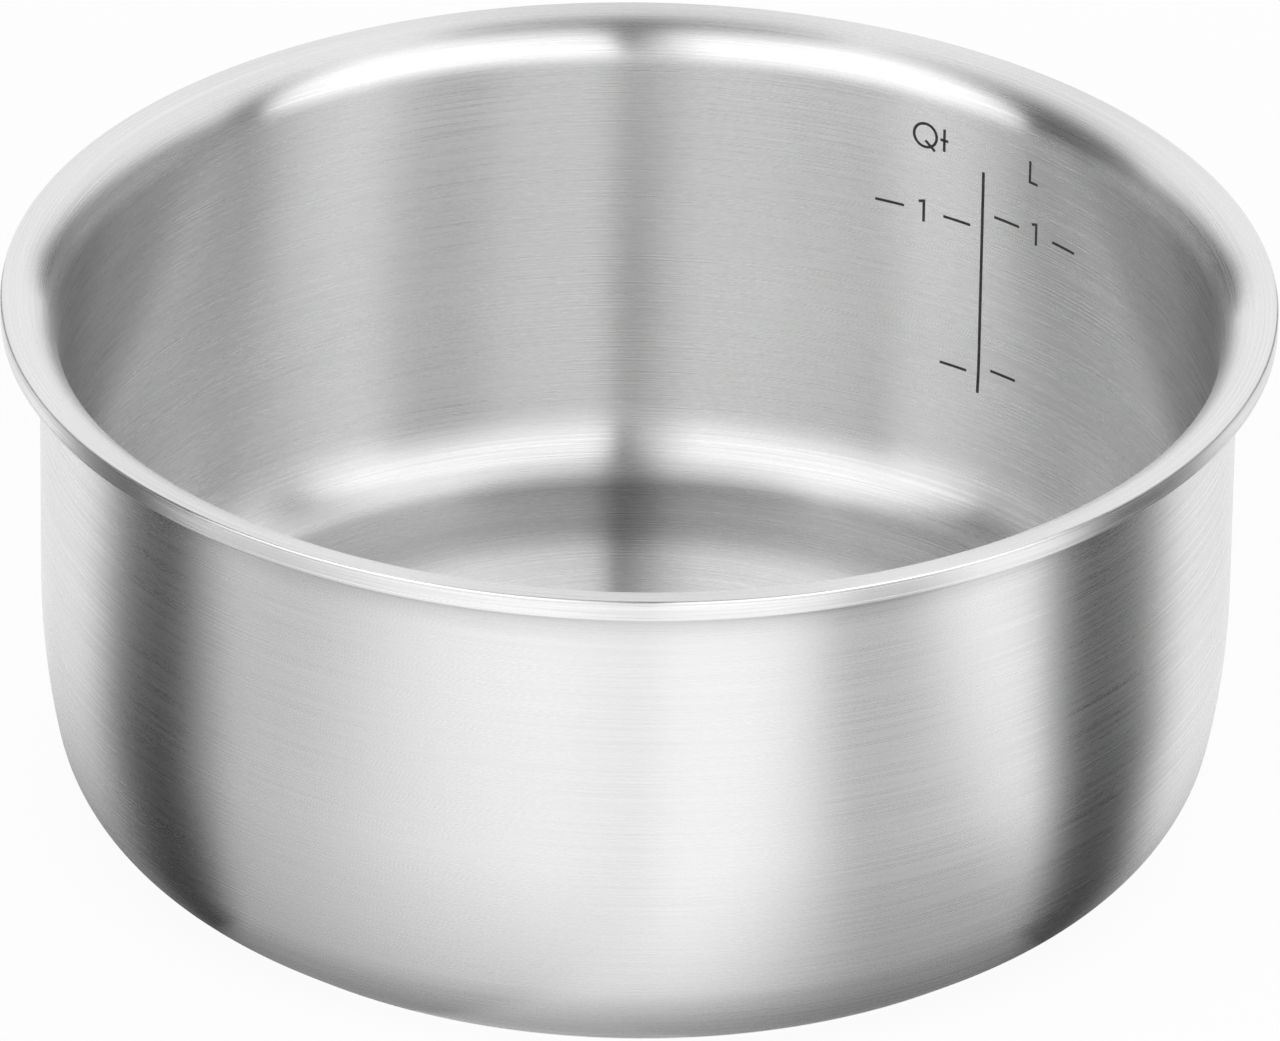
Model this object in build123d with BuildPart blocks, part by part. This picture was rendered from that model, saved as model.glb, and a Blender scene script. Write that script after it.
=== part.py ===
"""A round clad steel cooking pot: two steel skins on an aluminium core, with an etched volume scale.

All lengths are in millimetres. The origin is the middle of the foot, where the pot stands, and +Z is up.
Every round piece is turned from a profile whose x is the radius and whose y is the height.
"""

import os
from math import asin, atan2, cos, degrees, pi, radians, sin, sqrt, tan

from build123d import *

os.makedirs("parts", exist_ok=True)

# Layers of the clad sheet
inner_skin_sheet = 0.6
wall_core = 1.2
base_core = 5.5
outer_skin_sheet = 0.6

# Bowl
inner_radius = 80.2
belly_radius = 107.5
belly_turn = 11.3
corner_radius = 17.9
corner_sweep = 64.0
inner_corner_radius = 14.0

# Foot
foot_height = 1.2
foot_step = 0.85
foot_edge_round = 0.3

# Flared rim with a cut edge
rim_overhang = 7.8
flare_slope = 6.5
flare_bend_radius = 6.5
flare_root_radius = 3.5
rim_edge_height = 3.0
rim_top_round = 0.35
rim_under_round = 0.25

# Volume scale
litre = 1.0e6
quart = 946353.0
top_mark_below_rim = 20.6
scale_azimuth = 37.2
etch_depth = 0.15
line_stroke = 0.48
mark_stroke = 0.42
line_above_top_mark = 6.45
line_below_last_mark = 2.9
tick_gap = 2.1
tick_length = 4.55
far_tick_gap = 13.1
digit_offset = 9.9
digit_height = 3.55
digit_flag = 0.85
digit_flag_drop = 0.25
letter_rise = 9.4
letter_height = 3.55
letter_offset = 9.2
letter_width = 1.5
ring_radius = 2.05
tail_drop = 0.8
tail_length = 2.1
tail_slope = 40.0
cross_bar = 1.3

# Heights and radii of the sheet
sheet = inner_skin_sheet + wall_core + outer_skin_sheet
floor_top = outer_skin_sheet + base_core + inner_skin_sheet
body_radius = inner_radius + sheet
rim_radius = inner_radius + rim_overhang

# Outside of the bowl: corner and belly are two arcs that run into each other
turn = radians(belly_turn)
corner_height = foot_height + corner_radius * sin(radians(corner_sweep))
belly_start = corner_height + (belly_radius - corner_radius) * sin(turn)
belly_centre = (body_radius - belly_radius, belly_start)
corner_centre = (belly_centre[0] + (belly_radius - corner_radius) * cos(turn), corner_height)

# Inside of the bowl: the belly keeps the wall's thickness and a rounder corner runs into the floor
inner_belly_radius = belly_radius - sheet
inner_corner_height = floor_top + inner_corner_radius
inner_turn = asin((belly_start - inner_corner_height) / (inner_belly_radius - inner_corner_radius))
inner_corner_reach = belly_centre[0] + (inner_belly_radius - inner_corner_radius) * cos(inner_turn)
inner_corner_centre = (inner_corner_reach, inner_corner_height)


def arc_reach(centre, radius, height):
    """Radius from the pot's axis at which an arc passes a height on its outer side."""
    return centre[0] + sqrt(radius**2 - (height - centre[1]) ** 2)


def arc_between(centre, radius, start, end):
    """Arc about a centre from one point to another, the short way round."""
    start_angle = degrees(atan2(start[1] - centre[1], start[0] - centre[0]))
    end_angle = degrees(atan2(end[1] - centre[1], end[0] - centre[0]))
    return CenterArc(centre, radius, start_angle, end_angle - start_angle)


def belly_point(radius, angle):
    """Point on a circle about the belly's centre, an angle below the level through it."""
    return (belly_centre[0] + radius * cos(angle), belly_centre[1] - radius * sin(angle))


def inside_bowl(depth):
    """Floor, corner and belly of the bowl at a depth below its inner surface, out from the axis."""
    floor_end = (inner_corner_centre[0], floor_top - depth)
    belly_end = belly_point(inner_belly_radius + depth, inner_turn)
    wall_foot = (inner_radius + depth, belly_start)
    Line((0, floor_top - depth), floor_end)
    arc_between(inner_corner_centre, inner_corner_radius + depth, floor_end, belly_end)
    arc_between(belly_centre, inner_belly_radius + depth, belly_end, wall_foot)


# Space inside the bowl, up to where the straight wall begins
with BuildPart() as bowl_space:
    with BuildSketch(Plane.XZ):
        with BuildLine():
            inside_bowl(0)
            Polyline((inner_radius, belly_start), (0, belly_start), (0, floor_top))
        make_face()
    revolve(axis=Axis.Z)


def fill_height(volume):
    """Height of the surface when the pot holds a volume."""
    return belly_start + (volume - bowl_space.part.volume) / (pi * inner_radius**2)


top_mark = fill_height(litre)
pot_height = top_mark + top_mark_below_rim

# Bends from the wall into the flare, on top and underneath, where the sheet kept its full thickness
slope = radians(flare_slope)


def bend_middle(wall_radius, radius, edge_height):
    """Middle of a bend from an upright wall into the flare that ends at a height of the rim's edge."""
    run = rim_radius - wall_radius - radius * (1 - sin(slope))
    return (wall_radius + radius, edge_height - run * tan(slope) - radius * cos(slope))


rim_underside = pot_height - rim_edge_height
bend_centre = bend_middle(inner_radius, flare_bend_radius, pot_height)
root_centre = bend_middle(body_radius, flare_root_radius, rim_underside)


def edge_below_top(depth):
    """Point of the rim's cut edge at a depth below the flare's top."""
    return (rim_radius, pot_height - depth / cos(slope))


def edge_above_underside(depth):
    """Point of the rim's cut edge at a depth above the flare's underside."""
    return (rim_radius, rim_underside + depth / cos(slope))


def wall_and_flare(bend, radius, edge):
    """Straight wall, bend and flare up to a point of the cut edge."""
    wall_radius = bend[0] - radius
    bend_end = (bend[0] - radius * sin(slope), bend[1] + radius * cos(slope))
    Line((wall_radius, belly_start), (wall_radius, bend[1]))
    CenterArc(bend, radius, 90 + flare_slope, 90 - flare_slope)
    Line(bend_end, edge)


def inside_rim(depth):
    """Wall and flare at a depth below the pot's inner surface."""
    wall_and_flare(bend_centre, flare_bend_radius - depth, edge_below_top(depth))


def outside_rim(depth):
    """Wall and flare at a depth below the pot's outer surface."""
    wall_and_flare(root_centre, flare_root_radius + depth, edge_above_underside(depth))


# Foot, set in from the end of the corner
foot_radius = arc_reach(corner_centre, corner_radius, foot_height) - foot_step


def outside_bowl(depth):
    """Foot, corner and belly of the pot at a depth below its outer surface, out from the axis."""
    foot_reach = foot_radius - depth
    shoulder_height = foot_height + depth
    radius = corner_radius - depth
    shoulder = (arc_reach(corner_centre, radius, shoulder_height), shoulder_height)
    belly_end = belly_point(belly_radius - depth, turn)
    Polyline((0, depth), (foot_reach, depth), (foot_reach, shoulder_height), shoulder)
    arc_between(corner_centre, radius, shoulder, belly_end)
    arc_between(belly_centre, belly_radius - depth, belly_end, (body_radius - depth, belly_start))


# Band of the inner wall that the scale is etched into
with BuildPart() as etch_band:
    with BuildSketch(Plane.XZ):
        with BuildLine():
            etch_radius = inner_belly_radius + etch_depth
            wall_foot = (inner_radius, belly_start)
            etch_foot = (inner_radius + etch_depth, belly_start)
            band_end = belly_point(inner_belly_radius, inner_turn)
            etch_end = belly_point(etch_radius, inner_turn)
            arc_between(belly_centre, inner_belly_radius, wall_foot, band_end)
            Line(band_end, etch_end)
            arc_between(belly_centre, etch_radius, etch_end, etch_foot)
            Polyline(etch_foot, (etch_foot[0], bend_centre[1]), (inner_radius, bend_centre[1]), wall_foot)
        make_face()
    revolve(axis=Axis.Z)

# The scale is drawn flat, facing the pot's axis, and pressed straight out onto the wall
azimuth = radians(scale_azimuth)
scale_plane = Plane(
    origin=(0, 0, 0),
    x_dir=(cos(azimuth), -sin(azimuth), 0),
    z_dir=(-sin(azimuth), -cos(azimuth), 0),
)


def across(arc):
    """Flat offset from the scale's line of a point that lies an arc length along the wall."""
    return inner_radius * sin(arc / inner_radius)


def stroke(start, end, width):
    """Straight stroke of a pen between two points."""
    length = sqrt((end[0] - start[0]) ** 2 + (end[1] - start[1]) ** 2)
    with Locations(((start[0] + end[0]) / 2, (start[1] + end[1]) / 2)):
        Rectangle(length, width, rotation=degrees(atan2(end[1] - start[1], end[0] - start[0])))


def tick(side, near, height):
    """Level tick on one side of the scale's line, from a near distance outwards."""
    stroke((side * across(near), height), (side * across(near + tick_length), height), mark_stroke)


def digit_one(side, height):
    """The digit one, centred on a mark's height."""
    stem = side * across(digit_offset)
    top = height + digit_height / 2
    stroke((stem, height - digit_height / 2), (stem, top), mark_stroke)
    flag_root = top - mark_stroke / 2
    stroke((stem, flag_root), (stem - digit_flag, flag_root - digit_flag_drop), mark_stroke)


def side_marks(side, whole, half):
    """Ticks and digit of one unit: a whole measure with its digit, and half of it as a plain tick."""
    tick(side, tick_gap, whole)
    tick(side, far_tick_gap, whole)
    digit_one(side, whole)
    tick(side, tick_gap, half)


whole_quart = fill_height(quart)
half_quart = fill_height(quart / 2)
half_litre = fill_height(litre / 2)
letter_row = top_mark + letter_rise
letter_top = letter_row + letter_height / 2
letter_foot = letter_row - letter_height / 2

# Upright line of the scale
with BuildPart() as scale_line:
    with BuildSketch(scale_plane):
        stroke((0, half_quart - line_below_last_mark), (0, top_mark + line_above_top_mark), line_stroke)
    extrude(amount=-body_radius)
    add(etch_band.part, mode=Mode.INTERSECT)

# Litre side: ticks, digit and the letter L
with BuildPart() as litre_marks:
    with BuildSketch(scale_plane):
        side_marks(1, top_mark, half_litre)
        stem = across(letter_offset) - letter_width / 2
        stroke((stem, letter_foot), (stem, letter_top), mark_stroke)
        foot_line = letter_foot + mark_stroke / 2
        stroke((stem - mark_stroke / 2, foot_line), (stem + letter_width, foot_line), mark_stroke)
    extrude(amount=-body_radius)
    add(etch_band.part, mode=Mode.INTERSECT)

# Quart side: ticks, digit and the letters Q and t
with BuildPart() as quart_marks:
    with BuildSketch(scale_plane):
        side_marks(-1, whole_quart, half_quart)
        ring_centre = -across(digit_offset)
        with Locations((ring_centre, letter_row)):
            Circle(ring_radius)
            Circle(ring_radius - mark_stroke, mode=Mode.SUBTRACT)
        tail_root = letter_row - tail_drop
        tail_end = (
            ring_centre + tail_length * cos(radians(tail_slope)),
            tail_root - tail_length * sin(radians(tail_slope)),
        )
        stroke((ring_centre, tail_root), tail_end, mark_stroke)
        stem = ring_centre + ring_radius + cross_bar / 2 + mark_stroke
        stroke((stem, letter_foot), (stem, letter_top), mark_stroke)
        stroke((stem - cross_bar / 2, letter_row), (stem + cross_bar / 2, letter_row), mark_stroke)
    extrude(amount=-body_radius)
    add(etch_band.part, mode=Mode.INTERSECT)

# Inner skin, etched with the scale
with BuildPart() as inner_skin:
    with BuildSketch(Plane.XZ) as inner_profile:
        with BuildLine():
            for depth in (0, inner_skin_sheet):
                inside_bowl(depth)
                inside_rim(depth)
            Line(edge_below_top(0), edge_below_top(inner_skin_sheet))
            Line((0, floor_top), (0, floor_top - inner_skin_sheet))
        make_face()
        fillet(inner_profile.vertices().sort_by_distance(edge_below_top(0))[0], radius=rim_top_round)
    revolve(axis=Axis.Z)
    add(scale_line.part, mode=Mode.SUBTRACT)
    add(litre_marks.part, mode=Mode.SUBTRACT)
    add(quart_marks.part, mode=Mode.SUBTRACT)

# Aluminium core, thin in the wall and thick under the floor
with BuildPart() as aluminium_core:
    with BuildSketch(Plane.XZ):
        with BuildLine():
            inside_bowl(inner_skin_sheet)
            inside_rim(inner_skin_sheet)
            Line(edge_below_top(inner_skin_sheet), edge_above_underside(outer_skin_sheet))
            outside_rim(outer_skin_sheet)
            outside_bowl(outer_skin_sheet)
            Line((0, outer_skin_sheet), (0, floor_top - inner_skin_sheet))
        make_face()
    revolve(axis=Axis.Z)

# Outer skin, with the foot pressed into it
with BuildPart() as outer_skin:
    with BuildSketch(Plane.XZ) as outer_profile:
        with BuildLine():
            for depth in (0, outer_skin_sheet):
                outside_bowl(depth)
                outside_rim(depth)
            Line(edge_above_underside(0), edge_above_underside(outer_skin_sheet))
            Line((0, 0), (0, outer_skin_sheet))
        make_face()
        fillet(outer_profile.vertices().sort_by_distance(edge_above_underside(0))[0], radius=rim_under_round)
        fillet(outer_profile.vertices().sort_by_distance((foot_radius, 0))[0], radius=foot_edge_round)
    revolve(axis=Axis.Z)

pieces = {
    "inner_skin": inner_skin,
    "aluminium_core": aluminium_core,
    "outer_skin": outer_skin,
    "scale_line": scale_line,
    "litre_marks": litre_marks,
    "quart_marks": quart_marks,
}
for name, piece in pieces.items():
    piece.part.label = name
    export_step(piece.part, f"parts/{name}.step")

print(f"height {pot_height:.2f}, rim across {2 * rim_radius:.1f}, floor at {floor_top:.2f}")
print(f"marks at {top_mark:.2f}, {whole_quart:.2f}, {half_litre:.2f}, {half_quart:.2f}")
print(f"straight inner wall from {belly_start:.2f} to {bend_centre[1]:.2f}, foot radius {foot_radius:.2f}")
print(f"inner corner turns from {degrees(inner_turn):.2f} degrees, floor flat to {inner_corner_reach:.2f}")
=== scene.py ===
"""Dresses a round clad cooking pot: brushed steel skins, aluminium core and etched volume scale.

Lengths are written in millimetres and turned to metres where meshes are made. The origin is the middle of
the pot's foot and +Z is up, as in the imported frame. Round pieces are turned from an outline of points of
(radius, height).
"""

import logging
import math
from dataclasses import dataclass
from enum import Enum

import bmesh
import bpy
from mathutils import Matrix, Vector


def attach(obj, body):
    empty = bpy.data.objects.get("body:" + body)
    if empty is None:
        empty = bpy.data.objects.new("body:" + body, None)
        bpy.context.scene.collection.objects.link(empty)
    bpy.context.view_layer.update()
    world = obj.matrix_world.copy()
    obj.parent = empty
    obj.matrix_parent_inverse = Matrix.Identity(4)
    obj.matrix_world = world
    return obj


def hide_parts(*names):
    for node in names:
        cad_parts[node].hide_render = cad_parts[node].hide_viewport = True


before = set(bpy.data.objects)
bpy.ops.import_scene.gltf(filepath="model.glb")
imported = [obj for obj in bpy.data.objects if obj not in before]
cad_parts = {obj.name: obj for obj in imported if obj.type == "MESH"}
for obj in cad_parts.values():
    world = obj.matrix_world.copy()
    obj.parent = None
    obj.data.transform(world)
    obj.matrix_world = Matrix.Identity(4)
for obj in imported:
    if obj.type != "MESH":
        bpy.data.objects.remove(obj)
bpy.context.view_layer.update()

MM = 0.001

# How finely round shapes are cut, in steps, degrees and millimetres
TURN_STEPS = 320
ARC_STEP_DEG = 6.0
ARC_CHORD_MM = 0.004
ARC_LEAST_STEPS = 4
ON_AXIS_MM = 1e-6
SAME_POINT_MM = 1e-9
MITRE_LIMIT = 0.3

# Part of a noise pattern's range that is drawn out to the full range, and how much fine detail it has
GRAIN_RANGE = (0.3, 0.7)
GRAIN_DETAIL = 2.0
# A quarter turn lays the smear of a brushed face across its lines
ACROSS_LINES = 0.25

Point = tuple[float, float]
Links = dict[int | str, object]

logging.basicConfig(level=logging.INFO, format="%(levelname)s %(message)s")
log = logging.getLogger("pot")


def linear(hex_colour: str) -> tuple[float, float, float, float]:
    """Turns an sRGB hex colour into linear RGBA.

    Args:
        hex_colour: Six hex digits with a leading hash.

    Returns:
        Linear red, green and blue, and an alpha of one.
    """
    parts = [int(hex_colour[i : i + 2], 16) / 255 for i in (1, 3, 5)]
    red, green, blue = (c / 12.92 if c <= 0.04045 else ((c + 0.055) / 1.055) ** 2.4 for c in parts)
    return red, green, blue, 1.0


def add_node(
    tree: bpy.types.NodeTree, kind: str, links: Links | None = None, **settings: object
) -> bpy.types.Node:
    """Adds a node with its settings and links.

    Args:
        tree: Node tree of a material or of the world.
        kind: Blender's name of the node type.
        links: Input name or index to the socket, number or colour that feeds it.
        **settings: Node properties by name.

    Returns:
        The new node.
    """
    node = tree.nodes.new(kind)
    for name, value in settings.items():
        setattr(node, name, value)
    for name, source in (links or {}).items():
        if isinstance(source, bpy.types.NodeSocket):
            tree.links.new(source, node.inputs[name])
        else:
            node.inputs[name].default_value = source
    return node


def arc(centre: Point, radius: float, start: float, end: float) -> list[Point]:
    """Points along an arc of an outline.

    Args:
        centre: Middle of the arc.
        radius: Radius of the arc.
        start: First angle in degrees, from the outward radius towards up.
        end: Last angle in degrees.

    Returns:
        The points from start to end, both included.
    """
    chord_step = math.degrees(2 * math.acos(1 - min(1.0, ARC_CHORD_MM / radius)))
    steps = max(ARC_LEAST_STEPS, math.ceil(abs(end - start) / min(ARC_STEP_DEG, chord_step)))
    angles = [math.radians(start + (end - start) * i / steps) for i in range(steps + 1)]
    return [(centre[0] + radius * math.cos(a), centre[1] + radius * math.sin(a)) for a in angles]


def rounded(before: Point, corner: Point, after: Point, radius: float) -> list[Point]:
    """Points that round off a corner of an outline.

    Args:
        before: A point on the run into the corner.
        corner: The sharp corner.
        after: A point on the run out of it.
        radius: Radius of the round.

    Returns:
        Points of the round, from the run in to the run out.
    """
    here = Vector(corner)
    back = (Vector(before) - here).normalized()
    on = (Vector(after) - here).normalized()
    half = back.angle(on) / 2
    middle = here + (back + on).normalized() * (radius / math.sin(half))
    first = here + back * (radius / math.tan(half)) - middle
    last = here + on * (radius / math.tan(half)) - middle
    sweep = first.angle_signed(last)
    steps = max(ARC_LEAST_STEPS, math.ceil(math.degrees(abs(sweep)) / ARC_STEP_DEG))
    start = math.atan2(first.y, first.x)
    angles = [start - sweep * i / steps for i in range(steps + 1)]
    return [(middle.x + radius * math.cos(a), middle.y + radius * math.sin(a)) for a in angles]


def turned(name: str, outline: list[Point]) -> bpy.types.Object:
    """Turns an outline that starts and ends on the axis into a closed round piece.

    Args:
        name: Name of the piece.
        outline: Points of (radius, height) in millimetres.

    Returns:
        The new mesh object, in the scene.
    """
    mesh = bpy.data.meshes.new(name)
    shape = bmesh.new()
    rings: list[list[bmesh.types.BMVert]] = []
    for radius, height in outline:
        count = TURN_STEPS if radius > ON_AXIS_MM else 1
        angles = [2 * math.pi * i / count for i in range(count)]
        places = [(radius * math.cos(a), radius * math.sin(a), height) for a in angles]
        rings.append([shape.verts.new(Vector(place) * MM) for place in places])
    for low, high in zip(rings, rings[1:]):
        for i in range(TURN_STEPS):
            j = (i + 1) % TURN_STEPS
            corners = [low[i % len(low)], low[j % len(low)], high[j % len(high)], high[i % len(high)]]
            shape.faces.new(list(dict.fromkeys(corners)))
    bmesh.ops.recalc_face_normals(shape, faces=shape.faces)
    shape.to_mesh(mesh)
    shape.free()
    mesh.shade_smooth()
    piece = bpy.data.objects.new(name, mesh)
    bpy.context.scene.collection.objects.link(piece)
    return piece


def node_material(name: str) -> tuple[bpy.types.Material, bpy.types.NodeTree]:
    """Makes an empty node material.

    Args:
        name: Name of the material.

    Returns:
        The material and its node tree.
    """
    made = bpy.data.materials.new(name)
    made.use_nodes = True
    made.node_tree.nodes.clear()
    return made, made.node_tree


@dataclass(frozen=True)
class RoundPlace:
    """Sockets that say where a point of a round piece lies."""

    height: bpy.types.NodeSocket
    reach: bpy.types.NodeSocket
    outward: bpy.types.NodeSocket


def round_place(tree: bpy.types.NodeTree) -> RoundPlace:
    """Adds the nodes that measure a place on a round piece.

    Args:
        tree: Node tree of a material.

    Returns:
        Its height, its distance from the axis and its direction away from the axis.
    """
    place = add_node(tree, "ShaderNodeTexCoord").outputs["Object"]
    height = add_node(tree, "ShaderNodeSeparateXYZ", {0: place}).outputs["Z"]
    links = {0: place, 1: (1, 1, 0)}
    flat = add_node(tree, "ShaderNodeVectorMath", links, operation="MULTIPLY").outputs[0]
    reach = add_node(tree, "ShaderNodeVectorMath", {0: flat}, operation="LENGTH").outputs["Value"]
    outward = add_node(tree, "ShaderNodeVectorMath", {0: flat}, operation="NORMALIZE").outputs[0]
    return RoundPlace(height, reach, outward)


@dataclass(frozen=True)
class BrushLines:
    """One layer of the lines that a brushing belt leaves round a piece, in millimetres."""

    width: float
    length: float
    share: float = 1.0

    def grain(
        self,
        tree: bpy.types.NodeTree,
        travel: bpy.types.NodeSocket,
        outward: bpy.types.NodeSocket,
        radius: float,
    ) -> bpy.types.NodeSocket:
        """Adds noise that is drawn out along the lines.

        Args:
            tree: Node tree of a material.
            travel: Distance across the lines.
            outward: Direction away from the axis, which turns along the lines.
            radius: Radius at which the lines have their length.

        Returns:
            The noise, around one half.
        """
        links = {0: travel, 1: 1 / (self.width * MM)}
        across = add_node(tree, "ShaderNodeMath", links, operation="MULTIPLY").outputs[0]
        step = add_node(tree, "ShaderNodeCombineXYZ", {"Z": across}).outputs[0]
        links = {0: outward, 1: (radius / self.length,) * 3, 2: step}
        line = add_node(tree, "ShaderNodeVectorMath", links, operation="MULTIPLY_ADD").outputs[0]
        links = {"Vector": line, "Scale": 1.0, "Detail": GRAIN_DETAIL}
        return add_node(tree, "ShaderNodeTexNoise", links).outputs[0]


def brushed_shader(tree: bpy.types.NodeTree, anisotropy: float, links: Links) -> None:
    """Adds the shader of a bare metal face that is brushed round the axis.

    Args:
        tree: Node tree of a material.
        anisotropy: How much further the face smears across its lines than along them.
        links: The rest of the shader's inputs.
    """
    tangent = add_node(tree, "ShaderNodeTangent", direction_type="RADIAL", axis="Z").outputs[0]
    brushing = {"Anisotropic": anisotropy, "Anisotropic Rotation": ACROSS_LINES, "Tangent": tangent}
    shader = add_node(tree, "ShaderNodeBsdfPrincipled", {"Metallic": 1.0, **brushing, **links})
    add_node(tree, "ShaderNodeOutputMaterial", {"Surface": shader.outputs[0]})


class SteelGrade(Enum):
    """Stainless sheet by its grade, with the colour of a brushed face."""

    AUSTENITIC = "#eeeeee"
    MAGNETIC = "#f5f5f5"


class BandAxis(Enum):
    """What a band of painted shade is measured along."""

    HEIGHT = "height"
    RADIUS = "radius"


@dataclass(frozen=True)
class PaintedShadeBand:
    """Ring of a brushed sheet whose colour is darkened as painted shade, under the rim outside and next to
    the inside corner.

    It deepens from start to full along its axis. Across the axis it ends at the limit, with a soft edge.
    """

    axis: BandAxis
    start: float
    full: float
    limit: float
    soft: float = 1.0
    shade: float = 0.3

    def shine(self, tree: bpy.types.NodeTree, place: RoundPlace) -> bpy.types.NodeSocket:
        """Adds the nodes that say how much of the sheet's light is left.

        Args:
            tree: Node tree of a material.
            place: Where a point of the sheet lies.

        Returns:
            One outside the band, and less within it.
        """
        along, across = place.height, place.reach
        if self.axis is BandAxis.RADIUS:
            along, across = across, along
        smooth = {"interpolation_type": "SMOOTHSTEP"}
        links = {0: across, 1: self.limit * MM, 2: (self.limit - self.soft) * MM}
        inside = add_node(tree, "ShaderNodeMapRange", links, **smooth).outputs[0]
        links = {0: along, 1: self.start * MM, 2: self.full * MM, 4: self.shade}
        depth = add_node(tree, "ShaderNodeMapRange", links, **smooth).outputs[0]
        # painted shade: how far the band darkens the sheet's colour
        loss = add_node(tree, "ShaderNodeMath", {0: inside, 1: depth}, operation="MULTIPLY").outputs[0]
        return add_node(tree, "ShaderNodeMath", {0: 1.0, 1: loss}, operation="SUBTRACT").outputs[0]


@dataclass(frozen=True)
class BrushedSteel:
    """Stainless sheet, drawn to shape and brushed round the pot's axis with a belt.

    The lines run round the pot, so reflections stay crisp along them and smear across them into upright
    streaks. Real lines are some hundredths of a millimetre wide; here they are drawn a few tenths wide, so
    that they show as the faint hatching that the eye sees. A band of painted shade may darken the sheet's
    colour where shade falls.
    """

    name: str
    grade: SteelGrade
    roughness: float = 0.28
    roughness_swing: float = 0.05
    anisotropy: float = 1.0
    shade: float = 0.06
    relief: float = 0.001
    wall_radius: float = 80.2
    lines: tuple[BrushLines, ...] = (BrushLines(0.16, 36.0, 0.6), BrushLines(0.5, 90.0, 0.4))
    painted_shade_band: PaintedShadeBand | None = None

    def material(self) -> bpy.types.Material:
        """Makes the material.

        Returns:
            The node material.
        """
        made, tree = node_material(self.name)
        place = round_place(tree)
        links = {0: place.reach, 1: place.height}
        travel = add_node(tree, "ShaderNodeMath", links, operation="ADD").outputs[0]
        hatching = 0.0
        for layer in self.lines:
            grain = layer.grain(tree, travel, place.outward, self.wall_radius)
            links = {0: grain, 1: layer.share, 2: hatching}
            hatching = add_node(tree, "ShaderNodeMath", links, operation="MULTIPLY_ADD").outputs[0]
        low, high = GRAIN_RANGE
        *bright, alpha = linear(self.grade.value)
        dark = [part * (1 - self.shade) for part in bright]
        spread = add_node(tree, "ShaderNodeMapRange", {0: hatching, 1: low, 2: high}).outputs[0]
        links = {0: spread, 6: (*dark, alpha), 7: (*bright, alpha)}
        colour = add_node(tree, "ShaderNodeMix", links, data_type="RGBA").outputs[2]
        # painted shade: the band darkens the steel's colour
        if self.painted_shade_band:
            links = {0: colour, "Scale": self.painted_shade_band.shine(tree, place)}
            colour = add_node(tree, "ShaderNodeVectorMath", links, operation="SCALE").outputs[0]
        smooth = self.roughness - self.roughness_swing
        coarse = self.roughness + self.roughness_swing
        links = {0: hatching, 1: low, 2: high, 3: coarse, 4: smooth}
        rough = add_node(tree, "ShaderNodeMapRange", links).outputs[0]
        links = {"Height": hatching, "Distance": self.relief * MM}
        relief = add_node(tree, "ShaderNodeBump", links).outputs[0]
        brushed_shader(tree, self.anisotropy, {"Base Color": colour, "Roughness": rough, "Normal": relief})
        return made


@dataclass(frozen=True)
class GroundAluminium:
    """Aluminium layer where the rim was cut and ground along its edge.

    It is whiter than steel, with lines along the edge that smear its reflections upright.
    """

    name: str = "ground_aluminium_edge"
    pale: str = "#fcfcfc"
    dull: str = "#ececec"
    pale_roughness: float = 0.26
    dull_roughness: float = 0.34
    anisotropy: float = 1.0
    lines: BrushLines = BrushLines(0.22, 24.0)
    edge_radius: float = 88.0

    def material(self) -> bpy.types.Material:
        """Makes the material.

        Returns:
            The node material.
        """
        made, tree = node_material(self.name)
        place = round_place(tree)
        grain = self.lines.grain(tree, place.height, place.outward, self.edge_radius)
        low, high = GRAIN_RANGE
        spread = add_node(tree, "ShaderNodeMapRange", {0: grain, 1: low, 2: high}).outputs[0]
        links = {0: spread, 6: linear(self.dull), 7: linear(self.pale)}
        colour = add_node(tree, "ShaderNodeMix", links, data_type="RGBA").outputs[2]
        links = {0: spread, 3: self.dull_roughness, 4: self.pale_roughness}
        rough = add_node(tree, "ShaderNodeMapRange", links).outputs[0]
        brushed_shader(tree, self.anisotropy, {"Base Color": colour, "Roughness": rough})
        return made


@dataclass(frozen=True)
class EtchedOxide:
    """Black oxide left in the steel by electro-etching.

    It is dark grey, dull, and a little patchy along each stroke.
    """

    name: str = "etched_black_oxide"
    dark: str = "#262626"
    worn: str = "#3c3c3c"
    patch: float = 0.5
    patch_detail: float = 3.0
    patch_range: tuple[float, float] = (0.35, 0.65)
    roughness: float = 0.55
    roughness_swing: float = 0.1

    def material(self) -> bpy.types.Material:
        """Makes the material.

        Returns:
            The node material.
        """
        made, tree = node_material(self.name)
        place = add_node(tree, "ShaderNodeTexCoord").outputs["Object"]
        links = {"Vector": place, "Scale": 1 / (self.patch * MM), "Detail": self.patch_detail}
        patches = add_node(tree, "ShaderNodeTexNoise", links).outputs[0]
        low, high = self.patch_range
        spread = add_node(tree, "ShaderNodeMapRange", {0: patches, 1: low, 2: high}).outputs[0]
        links = {0: spread, 6: linear(self.dark), 7: linear(self.worn)}
        colour = add_node(tree, "ShaderNodeMix", links, data_type="RGBA").outputs[2]
        smooth = self.roughness - self.roughness_swing
        coarse = self.roughness + self.roughness_swing
        rough = add_node(tree, "ShaderNodeMapRange", {0: patches, 3: coarse, 4: smooth}).outputs[0]
        links = {"Base Color": colour, "Metallic": 0.0, "Roughness": rough}
        shader = add_node(tree, "ShaderNodeBsdfPrincipled", links)
        add_node(tree, "ShaderNodeOutputMaterial", {"Surface": shader.outputs[0]})
        return made


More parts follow.
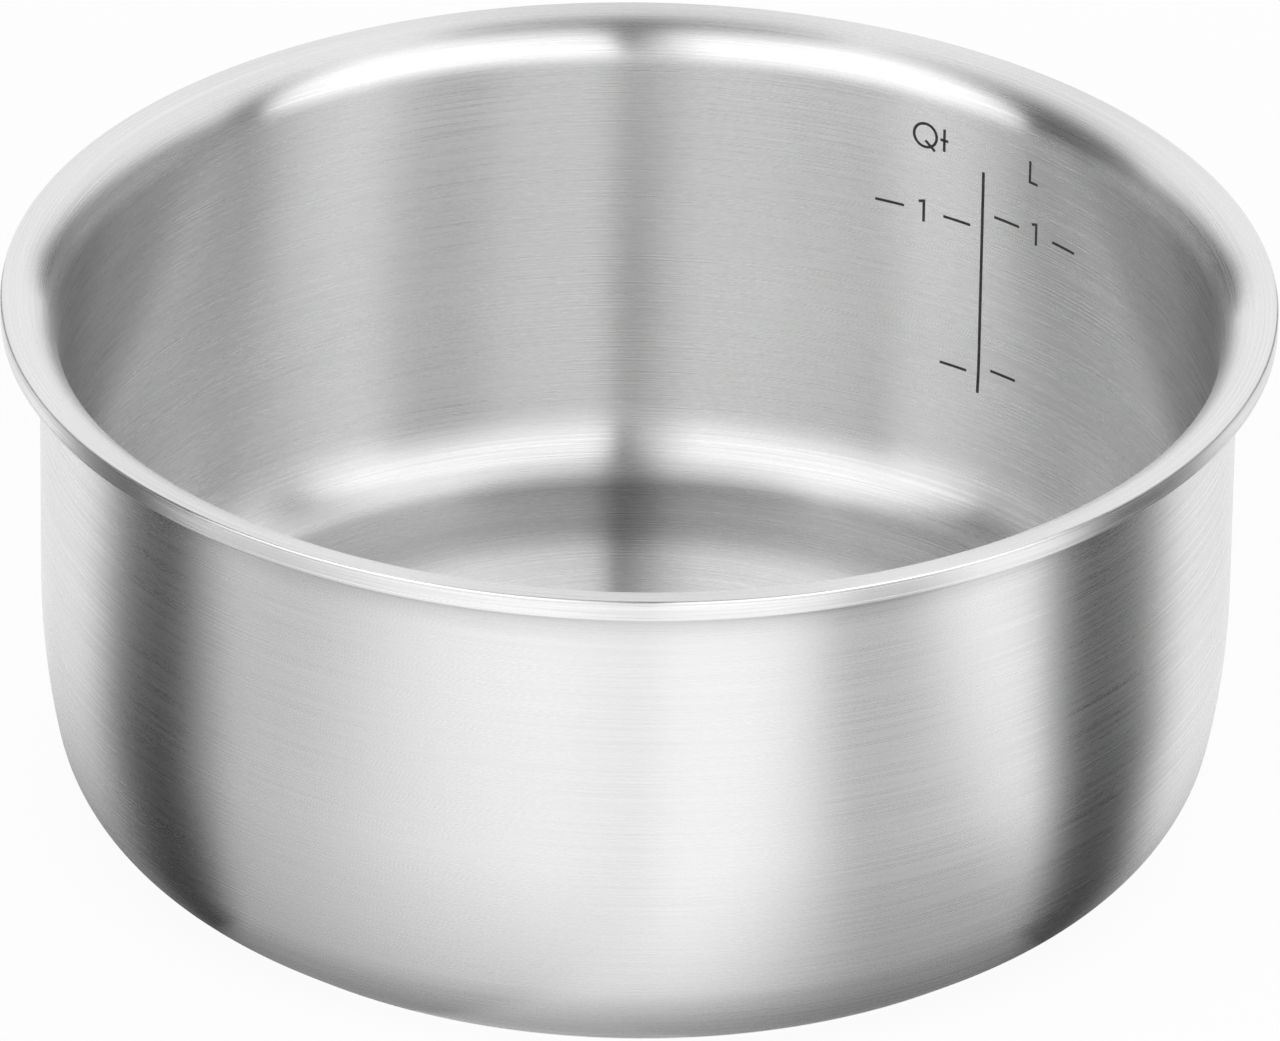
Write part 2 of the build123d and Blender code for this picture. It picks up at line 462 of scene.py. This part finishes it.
@dataclass
class PotShape:
    """Sizes of the pot in millimetres, and the outlines of its layers worked out from them."""

    inner_skin: float = 0.6
    wall_core: float = 1.2
    base_core: float = 5.5
    outer_skin: float = 0.6
    inner_radius: float = 80.2
    belly_radius: float = 107.5
    belly_turn: float = 11.3
    corner_radius: float = 17.9
    corner_sweep: float = 64.0
    inner_corner_radius: float = 14.0
    foot_height: float = 1.2
    foot_step: float = 0.85
    foot_edge_round: float = 0.3
    rim_overhang: float = 7.8
    flare_slope: float = 6.5
    flare_bend_radius: float = 6.5
    flare_root_radius: float = 3.5
    rim_edge_height: float = 3.0
    rim_top_round: float = 0.35
    rim_under_round: float = 0.25
    bond_groove: float = 0.05
    pot_height: float = 78.27

    def __post_init__(self) -> None:
        """Works out the centres and ends that the outlines share."""
        turn = math.radians(self.belly_turn)
        self.sheet = self.inner_skin + self.wall_core + self.outer_skin
        self.floor_top = self.outer_skin + self.base_core + self.inner_skin
        self.body_radius = self.inner_radius + self.sheet
        self.rim_radius = self.inner_radius + self.rim_overhang
        corner_height = self.foot_height + self.corner_radius * math.sin(math.radians(self.corner_sweep))
        self.belly_start = corner_height + (self.belly_radius - self.corner_radius) * math.sin(turn)
        self.belly_centre = (self.body_radius - self.belly_radius, self.belly_start)
        corner_reach = self.belly_centre[0] + (self.belly_radius - self.corner_radius) * math.cos(turn)
        self.corner_centre = (corner_reach, corner_height)
        self.inner_belly_radius = self.belly_radius - self.sheet
        inner_height = self.floor_top + self.inner_corner_radius
        link = self.inner_belly_radius - self.inner_corner_radius
        inner_turn = math.asin((self.belly_start - inner_height) / link)
        self.inner_turn = math.degrees(inner_turn)
        self.inner_corner_centre = (self.belly_centre[0] + link * math.cos(inner_turn), inner_height)
        self.rim_underside = self.pot_height - self.rim_edge_height
        self.bend_centre = self.bend_middle(self.inner_radius, self.flare_bend_radius, self.pot_height)
        self.root_centre = self.bend_middle(self.body_radius, self.flare_root_radius, self.rim_underside)
        shoulder = self.corner_centre[0] + self.corner_radius * math.cos(math.radians(self.corner_sweep))
        self.foot_radius = shoulder - self.foot_step

    def wall_at(self, height: float) -> float:
        """Radius of the inner wall at a height above the corner."""
        drop = max(0.0, self.belly_start - height)
        return self.belly_centre[0] + math.sqrt(self.inner_belly_radius**2 - drop**2)

    def bend_middle(self, wall_radius: float, radius: float, edge_height: float) -> Point:
        """Finds the middle of a bend from the upright wall into the flare.

        Args:
            wall_radius: Radius of the wall's surface that the bend starts from.
            radius: Radius of the bend.
            edge_height: Height of the flare's surface at the rim's edge.

        Returns:
            The middle of the bend.
        """
        slope = math.radians(self.flare_slope)
        run = self.rim_radius - wall_radius - radius * (1 - math.sin(slope))
        return (wall_radius + radius, edge_height - run * math.tan(slope) - radius * math.cos(slope))

    def inside_bend(self, depth: float) -> list[Point]:
        """Bend and edge of the flare at a depth below its top, from the wall outwards."""
        rise = depth / math.cos(math.radians(self.flare_slope))
        bend = arc(self.bend_centre, self.flare_bend_radius - depth, 180, 90 + self.flare_slope)
        return [*bend, (self.rim_radius, self.pot_height - rise)]

    def outside_bend(self, depth: float) -> list[Point]:
        """Bend and edge of the flare at a depth above its underside, from the wall outwards."""
        rise = depth / math.cos(math.radians(self.flare_slope))
        bend = arc(self.root_centre, self.flare_root_radius + depth, 180, 90 + self.flare_slope)
        return [*bend, (self.rim_radius, self.rim_underside + rise)]

    def inside(self, depth: float) -> list[Point]:
        """Inside of the pot at a depth below its inner surface.

        Args:
            depth: How far below the surface, in millimetres.

        Returns:
            Points from the middle of the floor to the rim's edge.
        """
        return [
            (0.0, self.floor_top - depth),
            *arc(self.inner_corner_centre, self.inner_corner_radius + depth, -90, -self.inner_turn),
            *arc(self.belly_centre, self.inner_belly_radius + depth, -self.inner_turn, 0)[1:],
            *self.inside_bend(depth),
        ]

    def outside(self, depth: float) -> list[Point]:
        """Outside of the pot at a depth below its outer surface.

        Args:
            depth: How far below the surface, in millimetres.

        Returns:
            Points from the middle of the foot to the rim's edge.
        """
        radius = self.corner_radius - depth
        shoulder_height = self.foot_height + depth
        foot = self.foot_radius - depth
        shoulder = math.degrees(math.asin((shoulder_height - self.corner_centre[1]) / radius))
        foot_edge = [(foot, depth)]
        if depth == 0:
            foot_edge = rounded((0, 0), (foot, 0), (foot, self.foot_height), self.foot_edge_round)
        return [
            (0.0, depth),
            *foot_edge,
            (foot, shoulder_height),
            *arc(self.corner_centre, radius, shoulder, -self.belly_turn),
            *arc(self.belly_centre, self.belly_radius - depth, -self.belly_turn, 0)[1:],
            *self.outside_bend(depth),
        ]

    def layer(
        self, top: list[Point], under: list[Point], top_round: float, under_round: float
    ) -> list[Point]:
        """Outline of one layer, with the two corners of its cut edge rounded.

        Args:
            top: Upper surface, from the axis to the rim's edge.
            under: Lower surface, from the axis to the rim's edge.
            top_round: Radius of the upper corner.
            under_round: Radius of the lower corner.

        Returns:
            Points from the axis over the edge and back to the axis.
        """
        high = rounded(top[-2], top[-1], under[-1], top_round)
        low = rounded(top[-1], under[-1], under[-2], under_round)
        return [*top[:-1], *high, *low, *reversed(under[:-1])]

    def inner_outline(self) -> list[Point]:
        """Outline of the inner skin."""
        return self.layer(self.inside(0), self.inside(self.inner_skin), self.rim_top_round, self.bond_groove)

    def core_outline(self) -> list[Point]:
        """Outline of the core."""
        under = self.outside(self.outer_skin)
        return self.layer(self.inside(self.inner_skin), under, self.bond_groove, self.bond_groove)

    def outer_outline(self) -> list[Point]:
        """Outline of the outer skin."""
        top = self.outside(self.outer_skin)
        return self.layer(top, self.outside(0), self.bond_groove, self.rim_under_round)


@dataclass
class CladPot:
    """The three layers of the clad sheet, pressed to a pot."""

    shape: PotShape
    inner_finish: BrushedSteel = BrushedSteel(
        "belt_brushed_stainless_inside_painted_shade",
        SteelGrade.AUSTENITIC,
        # painted shade: darkens a ring of the floor next to the inside corner
        painted_shade_band=PaintedShadeBand(BandAxis.RADIUS, start=53.0, full=63.0, limit=9.8, soft=1.8, shade=0.37),
    )
    core_finish: GroundAluminium = GroundAluminium()
    outer_finish: BrushedSteel = BrushedSteel(
        "belt_brushed_stainless_outside_painted_shade",
        SteelGrade.MAGNETIC,
        # painted shade: darkens the upper outer wall under the rim, stopping short of the cut edge
        painted_shade_band=PaintedShadeBand(BandAxis.HEIGHT, start=68.0, full=75.0, limit=87.7),
    )
    sharp_angle: float = 35.0

    def layer(
        self, name: str, node: str, slot: str, outline: list[Point], finish: BrushedSteel | GroundAluminium
    ) -> bpy.types.Object:
        """Turns and dresses one layer.

        Args:
            name: Name of the piece.
            node: CAD node that it stands for.
            slot: Material slot of that node; not used.
            outline: Outline that it is turned from.
            finish: Finish of its surface.

        Returns:
            The piece.
        """
        piece = turned(name, outline)
        piece.data.set_sharp_from_angle(angle=math.radians(self.sharp_angle))
        piece.data.materials.append(finish.material())
        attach(piece, "root")
        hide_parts(node)
        return piece

    def build(self) -> list[bpy.types.Object]:
        """Builds and dresses the three layers.

        Returns:
            The inner skin, the core and the outer skin.
        """
        inner = self.shape.inner_outline()
        core = self.shape.core_outline()
        outer = self.shape.outer_outline()
        return [
            self.layer("brushed_inner_skin", "inner_skin", "inner_steel", inner, self.inner_finish),
            self.layer("ground_edge_core", "aluminium_core", "core_aluminium", core, self.core_finish),
            self.layer("brushed_outer_skin", "outer_skin", "outer_steel", outer, self.outer_finish),
        ]


def spaced(path: list[Point], step: float) -> list[Point]:
    """Adds points along the straight runs of a path, so that it can follow a curved wall.

    Args:
        path: Corner points.
        step: Longest gap between two points.

    Returns:
        The path with its corners and the points added between them.
    """
    out = [path[0]]
    for start, end in zip(path, path[1:]):
        count = max(1, math.ceil(math.dist(start, end) / step))
        out += [tuple(Vector(start).lerp(Vector(end), i / count)) for i in range(1, count + 1)]
    return out


def pen_edges(path: list[Point], width: float, closed: bool) -> list[tuple[Vector, Vector]]:
    """Both edges of a pen stroke, mitred where it turns.

    Args:
        path: Points along the middle of the stroke.
        width: Width of the stroke.
        closed: Whether the stroke ends where it starts.

    Returns:
        A left and a right point for each point of the path.
    """
    points = [Vector(p) for p in path]
    edges = []
    for i, here in enumerate(points):
        before = points[i - 1] if i or closed else here
        after = points[(i + 1) % len(points)] if closed or i + 1 < len(points) else here
        steps = [here - before, after - here]
        runs = [step.normalized() for step in steps if step.length > SAME_POINT_MM]
        lefts = [Vector((-run.y, run.x)) for run in runs]
        side = sum(lefts, Vector((0, 0))).normalized()
        out = side * (width / 2 / max(MITRE_LIMIT, side.dot(lefts[0])))
        edges.append((here + out, here - out))
    return edges


@dataclass
class VolumeScale:
    """Litre and quart marks etched inside the wall, written as arc lengths and heights in millimetres."""

    shape: PotShape
    azimuth: float = 37.2
    top_mark_below_rim: float = 20.6
    litre: float = 1.0e6
    quart: float = 946353.0
    proud: float = 0.03
    etch_depth: float = 0.15
    line_stroke: float = 0.48
    mark_stroke: float = 0.42
    line_above_top_mark: float = 6.45
    line_below_last_mark: float = 2.9
    tick_gap: float = 2.1
    tick_length: float = 4.55
    far_tick_gap: float = 13.1
    digit_offset: float = 9.9
    digit_height: float = 3.55
    digit_flag: float = 0.85
    digit_flag_drop: float = 0.25
    letter_rise: float = 9.4
    letter_height: float = 3.55
    letter_offset: float = 9.2
    letter_width: float = 1.5
    ring_radius: float = 2.05
    tail_drop: float = 0.8
    tail_length: float = 2.1
    tail_slope: float = 40.0
    cross_bar: float = 1.3
    step: float = 0.6
    finish: EtchedOxide = EtchedOxide()

    def __post_init__(self) -> None:
        """Works out the heights of the marks and of the letters above them."""
        self.top_mark = self.shape.pot_height - self.top_mark_below_rim
        self.letter_row = self.top_mark + self.letter_rise

    def fill_height(self, volume: float) -> float:
        """Height of the surface when the pot holds a volume."""
        return self.top_mark - (self.litre - volume) / (math.pi * self.shape.inner_radius**2)

    def on_wall(self, point: Point, lift: float) -> Vector:
        """Places a point of the scale on the wall.

        Args:
            point: Arc length from the scale's line, and height.
            lift: How far the point stands in from the wall.

        Returns:
            The place in metres.
        """
        radius = self.shape.wall_at(point[1]) - lift
        angle = math.radians(self.azimuth) + point[0] / self.shape.inner_radius
        return Vector((radius * math.sin(angle), radius * math.cos(angle), point[1])) * MM

    def pen(self, shape: bmesh.types.BMesh, path: list[Point], width: float, closed: bool = False) -> None:
        """Adds one stroke as a thin closed strip that follows the wall.

        Args:
            shape: Mesh that the stroke is added to.
            path: Corner points of (arc length, height).
            width: Width of the stroke.
            closed: Whether the stroke ends where it starts.
        """
        edges = pen_edges(path if closed else spaced(path, self.step), width, closed)
        rows = []
        for left, right in edges:
            face, bed = self.proud, -self.etch_depth
            corners = [(left, face), (right, face), (right, bed), (left, bed)]
            rows.append([shape.verts.new(self.on_wall(tuple(point), lift)) for point, lift in corners])
        pairs = list(zip(rows, rows[1:]))
        if closed:
            pairs.append((rows[-1], rows[0]))
        else:
            shape.faces.new(rows[0])
            shape.faces.new(list(reversed(rows[-1])))
        for low, high in pairs:
            for i in range(len(low)):
                j = (i + 1) % len(low)
                shape.faces.new((low[i], low[j], high[j], high[i]))

    def finished(self, name: str, node: str, shape: bmesh.types.BMesh) -> bpy.types.Object:
        """Turns strokes into a dressed piece.

        Args:
            name: Name of the piece.
            node: CAD node that it stands for.
            shape: Mesh of its strokes.

        Returns:
            The piece.
        """
        bmesh.ops.recalc_face_normals(shape, faces=shape.faces)
        mesh = bpy.data.meshes.new(name)
        shape.to_mesh(mesh)
        shape.free()
        mesh.materials.append(self.finish.material())
        piece = bpy.data.objects.new(name, mesh)
        bpy.context.scene.collection.objects.link(piece)
        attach(piece, "root")
        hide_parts(node)
        return piece

    def unit_marks(self, shape: bmesh.types.BMesh, side: int, measure: float) -> None:
        """Adds one unit's ticks and digit: a whole measure with its digit, and half of it as a plain tick.

        Args:
            shape: Mesh that the strokes are added to.
            side: 1 right of the scale's line, -1 left of it.
            measure: Volume of the whole measure.
        """
        whole = self.fill_height(measure)
        half = self.fill_height(measure / 2)
        for near, height in ((self.tick_gap, whole), (self.far_tick_gap, whole), (self.tick_gap, half)):
            ends = [(side * near, height), (side * (near + self.tick_length), height)]
            self.pen(shape, ends, self.mark_stroke)
        stem = side * self.digit_offset
        top = whole + self.digit_height / 2
        flag_root = top - self.mark_stroke / 2
        flag = (stem - self.digit_flag, flag_root - self.digit_flag_drop)
        foot = (stem, whole - self.digit_height / 2)
        self.pen(shape, [flag, (stem, flag_root), foot], self.mark_stroke)

    def build(self) -> list[bpy.types.Object]:
        """Builds and dresses the line and the marks on both sides of it.

        Returns:
            The three pieces.
        """
        line = bmesh.new()
        last_mark = self.fill_height(self.quart / 2)
        ends = [(0, last_mark - self.line_below_last_mark), (0, self.top_mark + self.line_above_top_mark)]
        self.pen(line, ends, self.line_stroke)

        letter_top = self.letter_row + self.letter_height / 2
        letter_foot = self.letter_row - self.letter_height / 2
        litres = bmesh.new()
        self.unit_marks(litres, 1, self.litre)
        stem = self.letter_offset - self.letter_width / 2
        foot_line = letter_foot + self.mark_stroke / 2
        letter = [(stem, letter_top), (stem, foot_line), (stem + self.letter_width, foot_line)]
        self.pen(litres, letter, self.mark_stroke)

        quarts = bmesh.new()
        self.unit_marks(quarts, -1, self.quart)
        ring = (-self.digit_offset, self.letter_row)
        ring_middle = self.ring_radius - self.mark_stroke / 2
        self.pen(quarts, arc(ring, ring_middle, 0, 360)[:-1], self.mark_stroke, closed=True)
        slope = math.radians(self.tail_slope)
        tail_root = ring[1] - self.tail_drop
        tail_reach = ring[0] + self.tail_length * math.cos(slope)
        tail_foot = tail_root - self.tail_length * math.sin(slope)
        self.pen(quarts, [(ring[0], tail_root), (tail_reach, tail_foot)], self.mark_stroke)
        stem = ring[0] + self.ring_radius + self.cross_bar / 2 + self.mark_stroke
        self.pen(quarts, [(stem, letter_foot), (stem, letter_top)], self.mark_stroke)
        half_bar = self.cross_bar / 2
        self.pen(quarts, [(stem - half_bar, ring[1]), (stem + half_bar, ring[1])], self.mark_stroke)
        return [
            self.finished("etched_scale_line", "scale_line", line),
            self.finished("etched_litre_marks", "litre_marks", litres),
            self.finished("etched_quart_marks", "quart_marks", quarts),
        ]


class CardKind(Enum):
    """What a card of the studio does to the light, by how bright its face is; 1 is white."""

    SOFTBOX = 1.62
    FLAG = 0.04


@dataclass(frozen=True)
class StudioCard:
    """A card that curves round the pot, placed by azimuth and elevation in degrees.

    Azimuth is measured from the camera's side towards +X. A card may lean: its top edge then has azimuths of
    its own. A fade dims it towards its second azimuth, down to the dim edge's brightness. Its reach is in
    metres.
    """

    name: str
    kind: CardKind
    azimuths: tuple[float, float]
    elevations: tuple[float, float]
    top_azimuths: tuple[float, float] | None = None
    fade: float = 0.0
    dim_edge: float = 0.4
    reach: float = 3.0
    steps: int = 16

    def away(self, column: int, row: int) -> Vector:
        """Place of one point of the card's grid, in metres."""
        low, high = self.elevations
        across = column / self.steps
        up = row / self.steps
        bottom, top = (a + (b - a) * across for a, b in (self.azimuths, self.top_azimuths or self.azimuths))
        turn = math.radians(bottom + (top - bottom) * up)
        lift = math.radians(low + (high - low) * up)
        flat = math.cos(lift)
        return Vector((math.sin(turn) * flat, -math.cos(turn) * flat, math.sin(lift))) * self.reach

    def material(self) -> bpy.types.Material:
        """Makes the card's glowing or dark face.

        Returns:
            The node material.
        """
        made, tree = node_material(self.name)
        glow = self.kind.value
        if self.fade:
            place = add_node(tree, "ShaderNodeTexCoord").outputs["Object"]
            axes = add_node(tree, "ShaderNodeSeparateXYZ", {0: place}).outputs
            links = {0: axes["Y"], 1: -1.0}
            front = add_node(tree, "ShaderNodeMath", links, operation="MULTIPLY").outputs[0]
            turn = add_node(tree, "ShaderNodeMath", {0: axes["X"], 1: front}, operation="ARCTAN2").outputs[0]
            end = self.azimuths[1]
            full = end - self.fade
            links = {0: turn, 1: math.radians(end), 2: math.radians(full), 3: self.dim_edge, 4: glow}
            glow = add_node(tree, "ShaderNodeMapRange", links).outputs[0]
        light = add_node(tree, "ShaderNodeEmission", {"Strength": glow})
        add_node(tree, "ShaderNodeOutputMaterial", {"Surface": light.outputs[0]})
        return made

    def build(self) -> bpy.types.Object:
        """Builds the card. The camera looks through it; the pot sees it.

        Returns:
            The card.
        """
        shape = bmesh.new()
        count = range(self.steps + 1)
        grid = [[shape.verts.new(self.away(column, row)) for column in count] for row in count]
        for low, high in zip(grid, grid[1:]):
            for j in range(self.steps):
                shape.faces.new((low[j], high[j], high[j + 1], low[j + 1]))
        mesh = bpy.data.meshes.new(self.name)
        shape.to_mesh(mesh)
        shape.free()
        mesh.materials.append(self.material())
        card = bpy.data.objects.new(self.name, mesh)
        card.visible_camera = False
        bpy.context.scene.collection.objects.link(card)
        return card


class FloorShadeCut(Enum):
    """Plan of a patch of painted shade on the floor."""

    STRIP = "strip"
    WEDGE = "wedge"
    ROUND = "round"


@dataclass(frozen=True)
class PaintedFloorShade:
    """A dark patch with soft edges on the floor, in millimetres: painted shade of the floor, which only
    reflections show.

    A strip leads away from the pot at an azimuth, in degrees from the camera's side towards +X, between a
    near and a far distance, and a shift moves it sideways. A wedge does so too. Its tip is at the near
    distance, the patch starts a little way on, and its width is measured at the wedge run from the tip. A
    round patch lies about the foot as painted contact shadow.
    """

    name: str
    cut: FloorShadeCut
    half_width: float
    fade: float
    density: float
    azimuth: float = 0.0
    shift: float = 0.0
    near: float = 0.0
    far: float = 420.0
    lift: float = 0.2
    wedge_start: float = 20.0
    wedge_run: float = 100.0
    glow: float = 0.04

    def material(self) -> bpy.types.Material:
        """Makes the patch of painted shade, clear at its edges.

        Returns:
            The node material.
        """
        made, tree = node_material(self.name)
        made.cycles.emission_sampling = "NONE"
        place = add_node(tree, "ShaderNodeTexCoord").outputs["Object"]
        if self.cut is FloorShadeCut.ROUND:
            away = add_node(tree, "ShaderNodeVectorMath", {0: place}, operation="LENGTH").outputs["Value"]
        else:
            axes = add_node(tree, "ShaderNodeSeparateXYZ", {0: place}).outputs
            away = add_node(tree, "ShaderNodeMath", {0: axes["Y"]}, operation="ABSOLUTE").outputs[0]
        if self.cut is FloorShadeCut.WEDGE:
            share = add_node(tree, "ShaderNodeMath", {0: away, 1: axes["X"]}, operation="DIVIDE").outputs[0]
            links = {0: share, 1: self.wedge_run * MM}
            away = add_node(tree, "ShaderNodeMath", links, operation="MULTIPLY").outputs[0]
        links = {0: away, 1: self.half_width * MM, 2: (self.half_width - self.fade) * MM, 4: self.density}
        cover = add_node(tree, "ShaderNodeMapRange", links, interpolation_type="SMOOTHSTEP").outputs[0]
        # painted shade: dark, nearly unlit face that only reflections show
        clear = add_node(tree, "ShaderNodeBsdfTransparent")
        dark = add_node(tree, "ShaderNodeEmission", {"Strength": self.glow})
        mixed = add_node(tree, "ShaderNodeMixShader", {0: cover, 1: clear.outputs[0], 2: dark.outputs[0]})
        add_node(tree, "ShaderNodeOutputMaterial", {"Surface": mixed.outputs[0]})
        return made

    def build(self) -> bpy.types.Object:
        """Lays the patch of painted shade.

        Returns:
            The patch.
        """
        start, end = 0.0, self.far - self.near
        half = near_half = self.half_width
        if self.cut is FloorShadeCut.ROUND:
            start, end = -half, half
        if self.cut is FloorShadeCut.WEDGE:
            start = self.wedge_start
            near_half = half * start / self.wedge_run
            half = half * end / self.wedge_run
        plan = [(start, -near_half), (end, -half), (end, half), (start, near_half)]
        mesh = bpy.data.meshes.new(self.name)
        mesh.from_pydata([(x * MM, y * MM, 0.0) for x, y in plan], [], [(0, 1, 2, 3)])
        mesh.materials.append(self.material())
        shade_patch = bpy.data.objects.new(self.name, mesh)
        turn = Matrix.Rotation(math.radians(self.azimuth - 90), 4, "Z")
        shade_patch.matrix_world = turn @ Matrix.Translation(Vector((self.near, self.shift, self.lift)) * MM)
        shade_patch.visible_camera = False
        shade_patch.visible_diffuse = False
        shade_patch.visible_shadow = False
        bpy.context.scene.collection.objects.link(shade_patch)
        return shade_patch


@dataclass
class Studio:
    """A white room with a pale floor and two front softboxes.

    Dark cards, and painted shade on the floor that only reflections show, give the steel contrast. The
    floor's reach is in metres, its drop in millimetres.
    """

    floor_reach: float = 6.0
    floor_sides: int = 96
    floor_drop: float = 0.2
    floor_colour: str = "#f6f6f6"
    seen_white: float = 0.93
    mirrored_white: float = 0.85
    cards: tuple[StudioCard, ...] = (
        StudioCard("low_softbox", CardKind.SOFTBOX, azimuths=(-79, 3), elevations=(0, 8)),
        StudioCard("left_softbox", CardKind.SOFTBOX, azimuths=(-79, 2), elevations=(8, 60), fade=16),
        StudioCard(
            "right_softbox", CardKind.SOFTBOX, azimuths=(3, 77), elevations=(0, 56), top_azimuths=(7, 77)
        ),
        StudioCard("gap_flag", CardKind.FLAG, azimuths=(-6, 12), elevations=(20, 70), reach=3.2),
        StudioCard("left_flag", CardKind.FLAG, azimuths=(-116, -79), elevations=(0, 70)),
        StudioCard("right_flag", CardKind.FLAG, azimuths=(78, 91), elevations=(0, 70)),
        StudioCard("left_back_flag", CardKind.FLAG, azimuths=(-154, -116), elevations=(0, 23)),
        StudioCard("right_back_flag", CardKind.FLAG, azimuths=(91, 154), elevations=(0, 23)),
        StudioCard("overhead_flag", CardKind.FLAG, azimuths=(-180, 180), elevations=(72, 90)),
    )
    # painted shade on the floor round the pot, which only reflections show
    floor_shades: tuple[PaintedFloorShade, ...] = (
        PaintedFloorShade(
            "left_black_wedge",
            FloorShadeCut.WEDGE,
            half_width=41,
            fade=30,
            density=1.0,
            azimuth=-105,
            shift=65.7,
            near=25,
        ),
        PaintedFloorShade(
            "right_black_wedge",
            FloorShadeCut.WEDGE,
            half_width=45,
            fade=32,
            density=1.0,
            azimuth=103,
            shift=-64,
            near=26,
            lift=0.21,
        ),
        PaintedFloorShade(
            "left_grey_strip",
            FloorShadeCut.STRIP,
            half_width=130,
            fade=130,
            density=0.58,
            azimuth=-56,
            near=60,
            lift=0.22,
        ),
        PaintedFloorShade(
            "right_grey_strip",
            FloorShadeCut.STRIP,
            half_width=60,
            fade=50,
            density=0.7,
            azimuth=38,
            near=60,
            lift=0.23,
        ),
        # painted contact shadow round the foot, seen only in reflections
        PaintedFloorShade("painted_contact_shadow", FloorShadeCut.ROUND, half_width=102, fade=30, density=0.66, lift=0.24),
    )

    def floor(self) -> bpy.types.Object:
        """Lays the pale floor, which shows nearly white and keeps a soft shadow.

        Returns:
            The floor.
        """
        shape = bmesh.new()
        bmesh.ops.create_circle(shape, cap_ends=True, segments=self.floor_sides, radius=self.floor_reach)
        mesh = bpy.data.meshes.new("pale_floor")
        shape.to_mesh(mesh)
        shape.free()
        finish, tree = node_material("pale_floor_sheet")
        finish.cycles.emission_sampling = "NONE"
        paths = add_node(tree, "ShaderNodeLightPath").outputs
        share = 0.0
        shown = (
            ("Is Camera Ray", self.seen_white),
            ("Is Transmission Ray", self.seen_white),
            ("Is Glossy Ray", self.mirrored_white),
        )
        for ray, white in shown:
            links = {0: paths[ray], 1: white, 2: share}
            share = add_node(tree, "ShaderNodeMath", links, operation="MULTIPLY_ADD").outputs[0]
        sheet = add_node(tree, "ShaderNodeBsdfDiffuse", {"Color": linear(self.floor_colour)})
        white = add_node(tree, "ShaderNodeEmission", {"Strength": 1.0})
        mixed = add_node(tree, "ShaderNodeMixShader", {0: share, 1: sheet.outputs[0], 2: white.outputs[0]})
        add_node(tree, "ShaderNodeOutputMaterial", {"Surface": mixed.outputs[0]})
        mesh.materials.append(finish)
        floor = bpy.data.objects.new("pale_floor", mesh)
        floor.location.z = -self.floor_drop * MM
        bpy.context.scene.collection.objects.link(floor)
        return floor

    def build(self) -> None:
        """Sets up the white room, its floor, the painted shade on its floor, and the cards."""
        world = bpy.data.worlds.new("white_room")
        world.use_nodes = True
        tree = world.node_tree
        tree.nodes.clear()
        room = add_node(tree, "ShaderNodeBackground", {"Color": linear("#ffffff"), "Strength": 1.0})
        add_node(tree, "ShaderNodeOutputWorld", {"Surface": room.outputs[0]})
        bpy.context.scene.world = world
        bpy.context.scene.view_settings.view_transform = "Standard"
        self.floor()
        for thing in (*self.floor_shades, *self.cards):
            thing.build()


@dataclass
class PhotoCamera:
    """The long lens that the pot is seen through.

    It stands in front of the pot at an elevation, looks at the rim and is then turned by a yaw, a pitch and
    a roll, all in degrees. Its lens and distance are in millimetres, and the end of its view in metres.
    """

    lens: float = 450.0
    sensor: float = 36.0
    elevation: float = 28.0
    distance: float = 2203.5
    yaw: float = -0.013
    pitch: float = -0.821
    roll: float = -0.79
    view_end: float = 50.0

    def build(self, rim_height: float) -> bpy.types.Object:
        """Sets up the camera.

        Args:
            rim_height: Height of the rim's top in millimetres, which the distance is measured from.

        Returns:
            The camera object.
        """
        data = bpy.data.cameras.new("studio_camera")
        data.lens = self.lens
        data.sensor_width = self.sensor
        data.clip_end = self.view_end
        tilt = math.radians(self.elevation)
        away = Vector((0, -math.cos(tilt), math.sin(tilt)))
        ahead = -away
        right = Vector((1, 0, 0))
        above = right.cross(ahead)
        facing = Matrix((right, above, -ahead)).transposed()
        turns = ((self.yaw, "Y"), (self.pitch, "X"), (-self.roll, "Z"))
        for degrees, axis in turns:
            facing = facing @ Matrix.Rotation(math.radians(degrees), 3, axis)
        place = (away * self.distance + Vector((0, 0, rim_height))) * MM
        camera = bpy.data.objects.new("studio_camera", data)
        camera.matrix_world = Matrix.Translation(place) @ facing.to_4x4()
        bpy.context.scene.collection.objects.link(camera)
        bpy.context.scene.camera = camera
        return camera


def main() -> None:
    """Builds the pot, the studio and the camera."""
    shape = PotShape()
    pieces = [*CladPot(shape).build(), *VolumeScale(shape).build()]
    for piece in pieces:
        log.info("built %s with %d faces", piece.name, len(piece.data.polygons))
    Studio().build()
    PhotoCamera().build(shape.pot_height)


if __name__ == "__main__":
    main()
